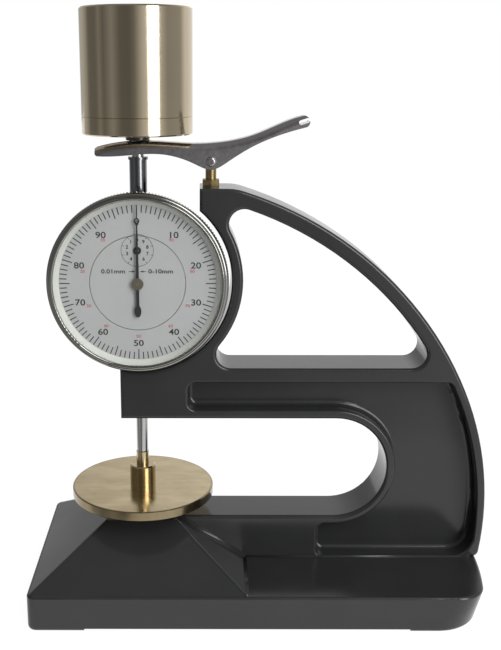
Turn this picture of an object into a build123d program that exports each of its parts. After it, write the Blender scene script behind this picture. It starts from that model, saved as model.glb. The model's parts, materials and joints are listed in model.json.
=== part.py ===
from build123d import *
import os
from math import acos, atan2, cos, degrees, pi, radians, sin, sqrt, tan

os.makedirs("parts", exist_ok=True)

# Dead-weight thickness gauge: cast C-frame, dial indicator, lifting lever, loaded presser foot.
# Millimetres. X runs from the open throat to the spine, Y runs away from the dial, Z is up,
# and the origin is the middle of the base footprint on the resting plane.

# Base
base_length = 156.0
base_width = 74.0
base_top = 12.8
base_end_bow = 140.0
base_end_flare = 2.4
base_left_corner = 3.0
base_right_corner = 10.0
base_right_corner_foot = 16.0
base_bottom_round = 1.6
base_top_round = 0.8
foot_pad_height = 1.2
left_pad_length = 19.0
right_pad_length = 28.5

# Measuring axis, where the spindle, foot and weights stand
axis_x = -41.0

# Pedestal, a low pyramid that carries the anvil
pedestal_top_width = 24.6
pedestal_arris_round = 1.2
throat_floor = 28.5

# C-frame, given from the measuring axis outwards
frame_thickness = 18.0
web_thickness = 4.0
rim_width = 3.0
bow_x = -2.6
bow_z = 24.0
bow_radius = 124.3
bow_end_angle = 24.0
spine_inset = 13.0
bar_width = 5.2
throat_radius = 18.1
throat_centre_x = 67.2
nose_left = -6.7
shoulder_x = 20.3
shoulder_top = 143.4
shoulder_round = 16.0
bow_foot_round = 2.2
bow_foot_neck = 2.4
dial_nest_radius = 31.0
nest_wall = 3.8
window_sill = 82.7
window_corner = 5.0
recess_left = 16.3
recess_top = 77.8
recess_base_left = 61.6
recess_corner = 3.0
recess_foot_corner = 8.0
edge_round = 1.2
lip_round = 0.8
recess_floor_round = 1.5

# Presser foot, contact rod, spindle and weights
anvil_radius = 12.0
anvil_shank_radius = 5.0
anvil_shank_depth = 8.0
clamp_screw_radius = 1.5
foot_radius = 25.0
foot_bottom = 34.13
foot_top = 37.5
hub_radius = 4.5
hub_top = 44.8
rod_radius = 2.2
rod_top = 50.0
spindle_radius = 2.0
running_gap = 0.05
weight_radius = 18.05
collar_radius = 3.95
collar_bottom = 158.3
weight_bottom = 160.3
weight_joint = 166.0
weight_top = 199.7
spindle_top = 174.0

# Lever and its post
post_x = 24.0
post_radius = 1.8
post_thread_radius = 1.5
pivot_z = 151.7
pivot_radius = 1.0
nut_across_flats = 5.5
nut_height = 2.3
lever_width = 9.0
lever_sheet = 1.0
lever_slot_width = 4.6
lever_slot_end = 4.5
fork_slot_length = 40.0

# Dial indicator, with depths given from the frame's mid plane towards the dial
dial_z = 112.7
case_radius = 27.0
case_wall = 1.8
case_front = 10.4
case_back = -6.8
back_cover_thickness = 1.6
stem_radius = 4.0
stem_top = 88.5
tube_radius = 2.9
tube_top = 153.0
tube_flange_radius = 3.3
tube_flange = 0.9
bezel_radius = 30.0
bezel_back = 8.8
bezel_front = 13.8
bezel_window = 27.6
bezel_seat = 28.1
knurl_count = 180
knurl_depth = 0.4
scale_inner = 15.9
rim_inner = 26.0
scale_back = 10.5
scale_front = 10.9
crystal_back = 12.6
crystal_front = 13.4
pointer_depth = 11.9
pointer_sheet = 0.2
pointer_tip = 25.7
pointer_ring_at = 20.8
pointer_tail = -9.2
counter_depth = 11.3

# Gear train: rack, 16 tooth pinion, 100 tooth wheel, 10 tooth pinion, 100 tooth take-up wheel
rack_pitch = 0.625
rack_addendum = 0.16
rack_dedendum = 0.24
rack_flat = 1.5
rack_low = 89.0
rack_teeth = 27
rack_pinion_teeth = 16
wheel_teeth = 100
centre_pinion_teeth = 10
wheel_module = 0.2
pressure_angle = radians(20)
tooth_fullness = 0.82
wheel_plane = 5.7
wheel_thickness = 0.6
front_plate_depth = 8.8
plate_thickness = 0.8
bridge_depth = 3.0
bridge_radius = 20.0

side = Plane(origin=(axis_x, 0, 0), x_dir=(1, 0, 0), z_dir=(0, -1, 0))
dial = Plane(origin=(axis_x, 0, dial_z), x_dir=(1, 0, 0), z_dir=(0, -1, 0))


def level(z):
    """Horizontal plane at height z with its origin on the measuring axis."""
    return Plane(origin=(axis_x, 0, z))


def on_circle(x, z, radius, angle):
    """Point at an angle in degrees on a circle of the side view."""
    return (x + radius * cos(radians(angle)), z + radius * sin(radians(angle)))


def angle_at(x, z, px, pz):
    """Angle in degrees from the centre (x, z) to the point (px, pz)."""
    return degrees(atan2(pz - z, px - x))


def involute(angle):
    return tan(angle) - angle


def tooth_half_angle(teeth, module, radius):
    """Half the angle that one involute tooth fills at a radius."""
    pitch_radius = teeth * module / 2
    base_radius = pitch_radius * cos(pressure_angle)
    at_radius = max(radius, base_radius * 1.0001)
    half_at_pitch = tooth_fullness * pi / (2 * teeth)
    return half_at_pitch + involute(pressure_angle) - involute(acos(base_radius / at_radius))


def gear_outline(teeth, module, turn, flank_points):
    """Closed line of a spur gear about the sketch origin, with one tooth at the angle turn."""
    pitch_radius = teeth * module / 2
    root = pitch_radius - 1.25 * module
    tip = pitch_radius + 0.8 * module
    radii = [root + (tip - root) * i / (flank_points - 1) for i in range(flank_points)]
    points = []
    for tooth in range(teeth):
        middle = radians(turn) + 2 * pi * tooth / teeth
        for r in radii:
            a = middle - tooth_half_angle(teeth, module, r)
            points.append((r * cos(a), r * sin(a)))
        for r in reversed(radii):
            a = middle + tooth_half_angle(teeth, module, r)
            points.append((r * cos(a), r * sin(a)))
    Polyline(*points, close=True)


# Places of the gear train about the dial centre
rack_module = rack_pitch / pi
rack_pinion_radius = rack_pinion_teeth * rack_module / 2
centre_distance = (wheel_teeth + centre_pinion_teeth) * wheel_module / 2
wheel_u = -(rack_flat - rack_addendum + rack_pinion_radius)
wheel_v = -sqrt(centre_distance**2 - wheel_u**2)
takeup_v = centre_distance
wheel_direction = degrees(atan2(wheel_v, wheel_u))
half_tooth = 180 / wheel_teeth
centre_turn = wheel_direction
wheel_turn = wheel_direction + 180 - half_tooth
centre_pitch = 360 / centre_pinion_teeth
offset_at_takeup = (centre_turn - 90 + centre_pitch / 2) % centre_pitch - centre_pitch / 2
takeup_turn = 270 - offset_at_takeup * centre_pinion_teeth / wheel_teeth - half_tooth

# Frame casting: C-frame, pedestal and base in one piece
shoulder_corner_x = bow_x + sqrt(bow_radius**2 - (shoulder_top - bow_z) ** 2)
corner_angle = angle_at(bow_x, bow_z, shoulder_corner_x, shoulder_top)
bow_middle = on_circle(bow_x, bow_z, bow_radius, (corner_angle + bow_end_angle) / 2)
bow_end = on_circle(bow_x, bow_z, bow_radius, bow_end_angle)
spine_x, spine_z = on_circle(bow_x, bow_z, spine_inset, bow_end_angle)
spine_radius = bow_radius - spine_inset
bow_foot_x = spine_x + sqrt(spine_radius**2 - (base_top - spine_z) ** 2)
spine_middle = on_circle(spine_x, spine_z, spine_radius, bow_end_angle / 2)
nose_top = dial_z - sqrt(dial_nest_radius**2 - nose_left**2)
nest_top = dial_z + sqrt(dial_nest_radius**2 - shoulder_x**2)
nest_start_angle = angle_at(0, dial_z, nose_left, nose_top)
nest_end_angle = angle_at(0, dial_z, shoulder_x, nest_top)
nest_middle = on_circle(0, dial_z, dial_nest_radius, (nest_start_angle + nest_end_angle) / 2)
throat_middle_z = throat_floor + throat_radius
throat_top = throat_floor + 2 * throat_radius
buried = base_top - 3
half_thickness = frame_thickness / 2
clamp_z = (throat_top + nose_top) / 2
post_hole_depth = 8.0
post_thread_length = 7.0


def window_outline():
    """D-shaped opening between the dial nest, the bow and the arm."""
    with Locations((bow_x, bow_z)):
        Circle(bow_radius - bar_width)
    with Locations((0, window_sill)):
        Rectangle(bow_radius, bow_radius, align=(Align.MIN, Align.MIN), mode=Mode.INTERSECT)
    with Locations((0, dial_z)):
        Circle(dial_nest_radius + nest_wall, mode=Mode.SUBTRACT)
    fillet(vertices(), window_corner)


def recess_outline():
    """Sunk panel that leaves a thin web inside the spine and the arm."""
    with Locations((spine_x, spine_z)):
        Circle(spine_radius - rim_width)
    with Locations((recess_left, base_top)):
        Rectangle(bow_radius, recess_top - base_top, align=(Align.MIN, Align.MIN), mode=Mode.INTERSECT)
    with Locations((throat_centre_x, throat_middle_z)):
        Circle(throat_radius + rim_width, mode=Mode.SUBTRACT)
        Rectangle(
            bow_radius, 2 * (throat_radius + rim_width), align=(Align.MAX, Align.CENTER), mode=Mode.SUBTRACT
        )
    with Locations((recess_base_left, base_top)):
        Rectangle(bow_radius, throat_radius, align=(Align.MAX, Align.MIN), mode=Mode.SUBTRACT)
    corners = vertices().sort_by_distance((bow_foot_x, base_top))
    fillet(corners[1:], recess_corner)
    fillet(vertices().sort_by_distance((bow_foot_x, base_top))[0], recess_foot_corner)


with BuildPart() as recess_core:
    with BuildSketch(side.offset(half_thickness)):
        recess_outline()
    extrude(amount=-(frame_thickness - web_thickness) / 2)
    fillet(faces().sort_by(Axis.Y)[-1].edges(), recess_floor_round)

with BuildPart() as frame_casting:
    with BuildSketch(side):
        with BuildLine():
            Polyline(
                (bow_foot_x, base_top),
                (bow_foot_x - bow_foot_neck, base_top),
                (bow_foot_x - bow_foot_neck, buried),
                (0, buried),
                (0, throat_floor),
                (throat_centre_x, throat_floor),
            )
            ThreePointArc(
                (throat_centre_x, throat_floor),
                (throat_centre_x + throat_radius, throat_middle_z),
                (throat_centre_x, throat_top),
            )
            Polyline((throat_centre_x, throat_top), (nose_left, throat_top), (nose_left, nose_top))
            ThreePointArc((nose_left, nose_top), nest_middle, (shoulder_x, nest_top))
            Polyline(
                (shoulder_x, nest_top), (shoulder_x, shoulder_top), (shoulder_corner_x, shoulder_top)
            )
            ThreePointArc((shoulder_corner_x, shoulder_top), bow_middle, bow_end)
            ThreePointArc(bow_end, spine_middle, (bow_foot_x, base_top))
        make_face()
        fillet(vertices().sort_by_distance((bow_foot_x, base_top))[0], bow_foot_round)
        fillet(vertices().sort_by_distance((shoulder_corner_x, shoulder_top))[0], shoulder_round)
    extrude(amount=half_thickness, both=True)
    with BuildSketch(side):
        window_outline()
    extrude(amount=frame_thickness, both=True, mode=Mode.SUBTRACT)
    fillet(faces().filter_by(Axis.Y).edges(), edge_round)
    add(recess_core.part, mode=Mode.SUBTRACT)
    fillet(edges(Select.LAST).group_by(Axis.Y)[0], lip_round)
    add(mirror(recess_core.part, about=Plane.XZ, mode=Mode.PRIVATE), mode=Mode.SUBTRACT)
    fillet(edges(Select.LAST).group_by(Axis.Y)[-1], lip_round)

with BuildPart() as base_block:
    half_length = base_length / 2
    bow_sag = base_end_bow - sqrt(base_end_bow**2 - (base_width / 2) ** 2)
    foot_end = half_length - base_end_flare
    for level_z, end_x, corner in (
        (0, foot_end, base_right_corner_foot),
        (base_top, half_length, base_right_corner),
    ):
        with BuildSketch(Plane.XY.offset(level_z)):
            with BuildLine():
                Polyline(
                    (end_x - bow_sag, base_width / 2),
                    (-half_length, base_width / 2),
                    (-half_length, -base_width / 2),
                    (end_x - bow_sag, -base_width / 2),
                )
                ThreePointArc(
                    (end_x - bow_sag, -base_width / 2),
                    (end_x, 0),
                    (end_x - bow_sag, base_width / 2),
                )
            make_face()
            fillet(vertices().group_by(Axis.X)[-1], corner)
            fillet(vertices().group_by(Axis.X)[0], base_left_corner)
    loft(ruled=True)
    fillet(faces().sort_by(Axis.Z)[0].edges(), base_bottom_round)
    fillet(faces().sort_by(Axis.Z)[-1].edges(), base_top_round)
    with BuildSketch():
        with Locations((-half_length + left_pad_length, 0)):
            Rectangle(
                base_length - left_pad_length - right_pad_length,
                base_width,
                align=(Align.MIN, Align.CENTER),
            )
    extrude(amount=foot_pad_height, mode=Mode.SUBTRACT)
    pedestal_foot_width = base_width - 2 * base_top_round
    with BuildSketch(level(base_top)):
        RectangleRounded(pedestal_foot_width, pedestal_foot_width, pedestal_arris_round)
    with BuildSketch(level(throat_floor)):
        RectangleRounded(pedestal_top_width, pedestal_top_width, pedestal_arris_round)
    loft()

with BuildPart() as frame_body:
    add(base_block.part)
    add(frame_casting.part)
    with BuildSketch(level(throat_floor)):
        Circle(anvil_shank_radius)
    extrude(amount=-anvil_shank_depth, mode=Mode.SUBTRACT)
    with BuildSketch(level(throat_top)):
        Circle(stem_radius)
    extrude(amount=nose_top - throat_top + 4, mode=Mode.SUBTRACT)
    with BuildSketch(level(shoulder_top)):
        with Locations((post_x, 0)):
            Circle(post_thread_radius)
    extrude(amount=-post_hole_depth, mode=Mode.SUBTRACT)
    with BuildSketch(side.offset(-half_thickness)):
        with Locations((0, clamp_z)):
            Circle(clamp_screw_radius)
    extrude(amount=half_thickness - stem_radius + 1, mode=Mode.SUBTRACT)


# Anvil: hardened disc pressed into the pedestal
with BuildPart() as anvil:
    with BuildSketch(level(throat_floor)):
        Circle(anvil_radius)
    extrude(amount=foot_bottom - throat_floor)
    chamfer(edges().filter_by(GeomType.CIRCLE).sort_by(Axis.Z)[-1], 0.3)
    with BuildSketch(level(throat_floor)):
        Circle(anvil_shank_radius)
    extrude(amount=-anvil_shank_depth)

# Stud that carries the lever, its lock nut and the pivot pin
with BuildPart() as lever_post:
    with BuildSketch(level(shoulder_top - post_thread_length)):
        with Locations((post_x, 0)):
            Circle(post_thread_radius)
    extrude(amount=post_thread_length + nut_height)
    with BuildSketch(level(shoulder_top + nut_height)):
        with Locations((post_x, 0)):
            Circle(post_radius)
    extrude(amount=pivot_z + 2.2 - shoulder_top - nut_height)
    chamfer(edges().filter_by(GeomType.CIRCLE).sort_by(Axis.Z)[-1], 0.3)
    with BuildSketch(side):
        with Locations((post_x, pivot_z)):
            Circle(pivot_radius)
    extrude(amount=post_radius, both=True, mode=Mode.SUBTRACT)

with BuildPart() as post_lock_nut:
    with BuildSketch(level(shoulder_top)):
        with Locations((post_x, 0)):
            RegularPolygon(nut_across_flats / 2, 6, major_radius=False, rotation=30)
            Circle(post_thread_radius, mode=Mode.SUBTRACT)
    extrude(amount=nut_height)
    with BuildSketch(level(shoulder_top)):
        with Locations((post_x, 0)):
            Circle(nut_across_flats / 2 * 1.1)
    extrude(amount=nut_height, mode=Mode.INTERSECT)

pin_half_length = lever_width / 2 + 0.1
with BuildPart() as lever_pivot_pin:
    with BuildSketch(side):
        with Locations((post_x, pivot_z)):
            Circle(pivot_radius)
    extrude(amount=pin_half_length, both=True)
    for direction in (1, -1):
        with BuildSketch(side.offset(direction * pin_half_length)):
            with Locations((post_x, pivot_z)):
                Circle(1.6)
        extrude(amount=direction * 0.9)
    fillet(edges().filter_by(GeomType.CIRCLE).group_by(Axis.Y)[0], 0.7)
    fillet(edges().filter_by(GeomType.CIRCLE).group_by(Axis.Y)[-1], 0.7)


# Lifting lever: pressed channel, forked round the spindle, with a curled finger end
lever_crest = [
    (-15.0, 155.6),
    (-3.4, 157.9),
    (3.8, 158.2),
    (17.7, 157.5),
    (28.1, 158.1),
    (37.3, 160.1),
    (47.5, 164.3),
    (53.6, 166.3),
    (59.0, 167.0),
]
lever_heel = [
    (54.8, 162.7),
    (48.6, 161.0),
    (37.4, 156.5),
    (29.1, 151.4),
    (24.2, 149.1),
    (18.8, 150.9),
    (7.4, 154.1),
    (-3.0, 153.7),
    (-12.6, 153.4),
]
tip_start = lever_crest[-2]
lever_left = -13.8
lever_above = 170.0
lever_below = 145.0
lever_top_round = 2.4
channel_end = 48.5
curl_at = (54.1, 164.5)
curl_length = 3.8
curl_gap = 1.5
curl_slope = 18


def under_crest(drop):
    """Closed line under the lever's crest, lowered by a drop."""
    crest = Spline(*[(x, z - drop) for x, z in lever_crest])
    Polyline(crest @ 1, (lever_crest[-1][0], lever_below), (lever_crest[0][0], lever_below), crest @ 0)


with BuildPart() as lifting_lever:
    with BuildSketch(side):
        with BuildLine():
            under_crest(0)
        make_face()
    extrude(amount=lever_width / 2, both=True)
    crest_edges = edges().filter_by(GeomType.BSPLINE)
    fillet(crest_edges, lever_top_round)
    with BuildSketch(side):
        with BuildLine():
            Polyline((lever_left, 154.4), (lever_left, lever_above), (tip_start[0], lever_above), tip_start)
            TangentArc(tip_start, lever_heel[0], tangent=(1, 0.2))
            Spline(*lever_heel)
            ThreePointArc(lever_heel[-1], (lever_left + 0.3, 153.7), (lever_left, 154.4))
        make_face()
    extrude(amount=lever_width, both=True, mode=Mode.INTERSECT)
    with BuildSketch(side):
        with BuildLine():
            under_crest(lever_sheet)
        make_face()
        with Locations((lever_left + lever_sheet, lever_below)):
            Rectangle(
                channel_end - lever_left - lever_sheet,
                lever_above - lever_below,
                align=(Align.MIN, Align.MIN),
                mode=Mode.INTERSECT,
            )
    extrude(amount=lever_width / 2 - lever_sheet, both=True, mode=Mode.SUBTRACT)
    with BuildSketch(side):
        with Locations(curl_at):
            SlotOverall(curl_length, curl_gap, rotation=curl_slope)
    extrude(amount=lever_width, both=True, mode=Mode.SUBTRACT)
    with BuildSketch(level(collar_bottom)):
        with Locations((lever_slot_end - fork_slot_length / 2, 0)):
            SlotOverall(fork_slot_length, lever_slot_width)
    extrude(amount=-12, mode=Mode.SUBTRACT)
    with BuildSketch(side):
        with Locations((post_x, pivot_z)):
            Circle(pivot_radius + running_gap)
    extrude(amount=lever_width, both=True, mode=Mode.SUBTRACT)

# Set screw in the back of the nose that holds the dial stem
with BuildPart() as stem_clamp_screw:
    with BuildSketch(side.offset(-half_thickness)):
        with Locations((0, clamp_z)):
            Circle(clamp_screw_radius)
    extrude(amount=half_thickness - stem_radius)
    with BuildSketch(side.offset(-half_thickness)):
        with Locations((0, clamp_z)):
            RegularPolygon(0.8, 6)
    extrude(amount=2, mode=Mode.SUBTRACT)

# Moving stem: foot, rod, rack spindle, lift collar and weights
foot_bore = 1.5
foot_bore_depth = 6.0
rod_stud = 1.25
rod_stud_length = 4.0
with BuildPart() as presser_foot:
    with BuildSketch(level(foot_bottom)):
        Circle(foot_radius)
    extrude(amount=foot_top - foot_bottom)
    chamfer(edges().filter_by(GeomType.CIRCLE), 0.3)
    with BuildSketch(level(foot_top)):
        Circle(hub_radius)
    extrude(amount=hub_top - foot_top)
    chamfer(edges().filter_by(GeomType.CIRCLE).sort_by(Axis.Z)[-1], 0.4)
    with BuildSketch(level(hub_top)):
        Circle(foot_bore)
    extrude(amount=-foot_bore_depth, mode=Mode.SUBTRACT)

with BuildPart() as contact_rod:
    with BuildSketch(level(hub_top)):
        Circle(rod_radius)
    extrude(amount=rod_top - hub_top)
    chamfer(edges().filter_by(GeomType.CIRCLE).sort_by(Axis.Z)[-1], 0.3)
    with BuildSketch(level(hub_top)):
        Circle(foot_bore)
    extrude(amount=0.2 - foot_bore_depth)
    with BuildSketch(level(rod_top)):
        Circle(rod_stud)
    extrude(amount=rod_stud_length)

guide_pin_z = dial_z - 14
guide_pin_radius = 0.7
guide_pin_length = 7.8
with BuildPart() as spindle:
    with BuildSketch(level(rod_top)):
        Circle(spindle_radius)
    extrude(amount=spindle_top - rod_top)
    with BuildSketch(level(rod_top)):
        Circle(rod_stud)
    extrude(amount=rod_stud_length + 0.2, mode=Mode.SUBTRACT)
    rack_length = rack_teeth * rack_pitch
    with BuildSketch(level(rack_low)):
        with Locations((-rack_flat, 0)):
            Rectangle(spindle_radius, 2 * spindle_radius, align=(Align.MAX, Align.CENTER))
    extrude(amount=rack_length, mode=Mode.SUBTRACT)
    gap_at_tip = rack_pitch * (1 - tooth_fullness / 2) / 2 + rack_addendum * tan(pressure_angle)
    gap_at_root = rack_pitch * (1 - tooth_fullness / 2) / 2 - rack_dedendum * tan(pressure_angle)
    mesh_z = dial_z + wheel_v
    first_gap = mesh_z - rack_pitch * int((mesh_z - rack_low - rack_pitch) / rack_pitch)
    root_x = -rack_flat + rack_addendum + rack_dedendum
    with BuildSketch(side):
        for gap in range(rack_teeth - 2):
            gap_z = first_gap + gap * rack_pitch
            with BuildLine():
                Polyline(
                    (-rack_flat, gap_z - gap_at_tip),
                    (root_x, gap_z - gap_at_root),
                    (root_x, gap_z + gap_at_root),
                    (-rack_flat, gap_z + gap_at_tip),
                    close=True,
                )
            make_face()
    extrude(amount=spindle_radius, both=True, mode=Mode.SUBTRACT)
    with BuildSketch(Plane.YZ.offset(axis_x)):
        with Locations((0, guide_pin_z)):
            Circle(guide_pin_radius)
    extrude(amount=spindle_radius, mode=Mode.SUBTRACT)

with BuildPart() as guide_pin:
    with BuildSketch(Plane.YZ.offset(axis_x)):
        with Locations((0, guide_pin_z)):
            Circle(guide_pin_radius)
    extrude(amount=guide_pin_length)

with BuildPart() as lift_collar:
    with BuildSketch(level(collar_bottom)):
        Circle(collar_radius)
        Circle(spindle_radius, mode=Mode.SUBTRACT)
    extrude(amount=weight_bottom - collar_bottom)
    chamfer(faces().sort_by(Axis.Z)[0].outer_wire().edges(), 0.3)

with BuildPart() as lower_weight:
    with BuildSketch(level(weight_bottom)):
        Circle(weight_radius)
        Circle(spindle_radius, mode=Mode.SUBTRACT)
    extrude(amount=weight_joint - weight_bottom)
    chamfer(faces().filter_by(Axis.Z).sort_by(Axis.Z)[0].outer_wire().edges(), 0.4)
    chamfer(faces().filter_by(Axis.Z).sort_by(Axis.Z)[-1].outer_wire().edges(), 0.15)

with BuildPart() as upper_weight:
    with BuildSketch(level(weight_joint)):
        Circle(weight_radius)
    extrude(amount=weight_top - weight_joint)
    chamfer(faces().filter_by(Axis.Z).sort_by(Axis.Z)[0].outer_wire().edges(), 0.15)
    chamfer(faces().filter_by(Axis.Z).sort_by(Axis.Z)[-1].outer_wire().edges(), 0.5)
    with BuildSketch(level(weight_joint)):
        Circle(spindle_radius)
    extrude(amount=spindle_top + 0.5 - weight_joint, mode=Mode.SUBTRACT)

# Indicator case, open at both ends, with a ledge for the movement and one for the back cover
case_inner = case_radius - case_wall
front_ledge_inner = 21.5
front_ledge = 1.6
back_ledge_inner = 22.0
back_ledge = 2.0
movement_screw_at = 23.3
cover_screw_at = 23.8
screw_radius = 0.8
cover_head_radius = 1.4
with BuildPart() as indicator_case:
    with BuildSketch(dial.offset(case_back)):
        Circle(case_radius)
        Circle(case_inner, mode=Mode.SUBTRACT)
    extrude(amount=case_front - case_back)
    with BuildSketch(dial.offset(front_plate_depth)):
        Circle(case_inner)
        Circle(front_ledge_inner, mode=Mode.SUBTRACT)
    extrude(amount=-front_ledge)
    with BuildSketch(dial.offset(case_back)):
        Circle(case_inner)
        Circle(back_ledge_inner, mode=Mode.SUBTRACT)
    extrude(amount=back_ledge)
    with BuildSketch(level(dial_z)):
        Circle(tube_radius)
    extrude(amount=case_radius + 2, mode=Mode.SUBTRACT)
    with BuildSketch(level(dial_z)):
        Circle(stem_radius)
    extrude(amount=-case_radius - 2, mode=Mode.SUBTRACT)
    with BuildSketch(dial.offset(case_back)):
        with PolarLocations(cover_screw_at, 4, start_angle=45):
            Circle(screw_radius)
    extrude(amount=back_ledge, mode=Mode.SUBTRACT)
    with BuildSketch(dial.offset(front_plate_depth)):
        with PolarLocations(movement_screw_at, 3, start_angle=30):
            Circle(screw_radius)
    extrude(amount=-front_ledge, mode=Mode.SUBTRACT)

with BuildPart() as indicator_stem:
    with BuildSketch(level(throat_top)):
        Circle(stem_radius)
        Circle(spindle_radius + running_gap, mode=Mode.SUBTRACT)
    extrude(amount=stem_top - throat_top)

with BuildPart() as guide_tube:
    with BuildSketch(level(dial_z + case_inner - 1)):
        Circle(tube_radius)
    extrude(amount=tube_top - dial_z - case_inner + 1)
    with BuildSketch(level(tube_top - tube_flange)):
        Circle(tube_flange_radius)
    extrude(amount=tube_flange)
    with BuildSketch(level(tube_top)):
        Circle(spindle_radius + running_gap)
    extrude(amount=-tube_top + dial_z, mode=Mode.SUBTRACT)

with BuildPart() as back_cover:
    with BuildSketch(dial.offset(case_back)):
        Circle(case_radius)
        with PolarLocations(cover_screw_at, 4, start_angle=45):
            Circle(screw_radius, mode=Mode.SUBTRACT)
    extrude(amount=-back_cover_thickness)
    chamfer(faces().sort_by(Axis.Y)[-1].outer_wire().edges(), 0.6)

with BuildPart() as back_cover_screws:
    with BuildSketch(dial.offset(case_back - back_cover_thickness)):
        with PolarLocations(cover_screw_at, 4, start_angle=45):
            Circle(cover_head_radius)
    extrude(amount=-0.5)
    with BuildSketch(dial.offset(case_back - back_cover_thickness)):
        with PolarLocations(cover_screw_at, 4, start_angle=45):
            Circle(screw_radius)
    extrude(amount=back_cover_thickness + back_ledge - 0.2)
    with BuildSketch(dial.offset(case_back - back_cover_thickness - 0.5)):
        with PolarLocations(cover_screw_at, 4, start_angle=45):
            Rectangle(2, 0.4)
    extrude(amount=0.3, mode=Mode.SUBTRACT)

# Bezel: knurled band, two turned ridges and a lip over the crystal
bezel_bore = case_radius + 0.1
knurl_root = bezel_radius - knurl_depth
knurl_front = 11.7
outer_ridge = 29.4
ridge_groove = 28.7
bezel_axis = Axis((axis_x, 0, dial_z), (0, 1, 0))
bezel_section = Plane(origin=(axis_x, 0, dial_z), x_dir=(1, 0, 0), z_dir=(0, 0, 1))
with BuildPart() as bezel:
    with BuildSketch(bezel_section):
        with BuildLine():
            Polyline(
                (bezel_seat, -crystal_front),
                (bezel_seat, -scale_back),
                (bezel_bore, -scale_back),
                (bezel_bore, -bezel_back),
                (knurl_root, -bezel_back),
                (knurl_root, -knurl_front),
                (bezel_radius - 0.1, -knurl_front),
            )
            ThreePointArc(
                (bezel_radius - 0.1, -knurl_front),
                (outer_ridge + 0.2, -knurl_front - 1.1),
                (ridge_groove, -bezel_front + 0.7),
            )
            ThreePointArc(
                (ridge_groove, -bezel_front + 0.7),
                (ridge_groove - 0.3, -bezel_front),
                (bezel_window + 0.2, -bezel_front + 0.1),
            )
            Polyline(
                (bezel_window + 0.2, -bezel_front + 0.1),
                (bezel_window, -crystal_front),
                (bezel_seat, -crystal_front),
            )
        make_face()
    revolve(axis=bezel_axis)
    with BuildSketch(dial.offset(bezel_back + 0.2)):
        with BuildLine():
            knurl_points = []
            for tooth in range(knurl_count):
                tooth_angle = 360 * tooth / knurl_count
                knurl_points.append(on_circle(0, 0, bezel_radius, tooth_angle))
                knurl_points.append(on_circle(0, 0, knurl_root, tooth_angle + 180 / knurl_count))
            Polyline(*knurl_points, close=True)
        make_face()
        Circle(bezel_seat + 0.5, mode=Mode.SUBTRACT)
    extrude(amount=knurl_front - bezel_back - 0.2)

with BuildPart() as crystal:
    with BuildSketch(dial.offset(crystal_back)):
        Circle(bezel_seat)
    extrude(amount=crystal_front - crystal_back)

# Cone-shaped rim that holds the scale against the bezel
with BuildPart() as scale_rim:
    with BuildSketch(bezel_section):
        with BuildLine():
            Polyline(
                (rim_inner, -scale_front),
                (bezel_seat, -scale_front),
                (bezel_seat, -crystal_back),
                (bezel_window, -crystal_back),
                (rim_inner, -scale_front - 0.15),
                close=True,
            )
        make_face()
    revolve(axis=bezel_axis)

with BuildPart() as scale_ring:
    with BuildSketch(dial.offset(scale_back)):
        Circle(bezel_seat)
        Circle(scale_inner, mode=Mode.SUBTRACT)
    extrude(amount=scale_front - scale_back)

with BuildPart() as centre_plate:
    with BuildSketch(dial.offset(scale_back)):
        Circle(scale_inner - 0.2)
        Circle(0.8, mode=Mode.SUBTRACT)
        with Locations((0, takeup_v)):
            Circle(0.8, mode=Mode.SUBTRACT)
    extrude(amount=scale_front - scale_back)
    with BuildSketch(dial.offset(scale_back)):
        with PolarLocations(12.5, 3, start_angle=30):
            Circle(1)
    extrude(amount=-(scale_back - front_plate_depth - plate_thickness))

# Hands
arbor_radius = 0.5
sleeve_radius = 0.75
cap_radius = 2.0
with BuildPart() as pointer_hand:
    with BuildSketch(dial.offset(pointer_depth)):
        with BuildLine():
            Polyline(
                (-0.12, pointer_tip),
                (0.12, pointer_tip),
                (0.2, pointer_ring_at),
                (0.5, 2),
                (0.5, pointer_tail),
                (-0.5, pointer_tail),
                (-0.5, 2),
                (-0.2, pointer_ring_at),
                close=True,
            )
        make_face()
        Circle(1.5)
        with Locations((0, pointer_tail)):
            Ellipse(1.1, 2.0)
        with Locations((0, pointer_ring_at)):
            Circle(0.95)
            Circle(0.5, mode=Mode.SUBTRACT)
        Circle(sleeve_radius, mode=Mode.SUBTRACT)
    extrude(amount=pointer_sheet)

with BuildPart() as pointer_cap:
    with BuildSketch(dial.offset(pointer_depth + pointer_sheet)):
        Circle(cap_radius)
        Circle(arbor_radius, mode=Mode.SUBTRACT)
    extrude(amount=0.35)
    chamfer(faces().sort_by(Axis.Y)[0].outer_wire().edges(), 0.15)
    with BuildSketch(dial.offset(pointer_depth)):
        Circle(1)
        Circle(arbor_radius, mode=Mode.SUBTRACT)
    extrude(amount=-0.5)
    with BuildSketch(dial.offset(pointer_depth)):
        Circle(sleeve_radius)
        Circle(arbor_radius, mode=Mode.SUBTRACT)
    extrude(amount=pointer_sheet)

counter_hub_radius = 1.3
counter_hand_length = 4.6
with BuildPart() as counter_hand:
    with BuildSketch(dial.offset(counter_depth)):
        with Locations((0, takeup_v)):
            Circle(counter_hub_radius)
            Trapezoid(0.8, counter_hand_length, 87, align=(Align.CENTER, Align.MIN))
            Circle(arbor_radius, mode=Mode.SUBTRACT)
    extrude(amount=0.15)

# Movement plates, pillars and screws
pillar_places = [(14.5, -8.7), (14.5, 8.3), (-16.5, 0)]
pillar_radius = 1.5
movement_head_radius = 1.3
with BuildPart() as front_plate:
    with BuildSketch(dial.offset(front_plate_depth)):
        Circle(case_inner - 0.1)
        Circle(arbor_radius + running_gap, mode=Mode.SUBTRACT)
        with Locations((0, takeup_v), (wheel_u, wheel_v)):
            Circle(arbor_radius + running_gap, mode=Mode.SUBTRACT)
        with PolarLocations(movement_screw_at, 3, start_angle=30):
            Circle(screw_radius, mode=Mode.SUBTRACT)
    extrude(amount=plate_thickness)

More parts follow.
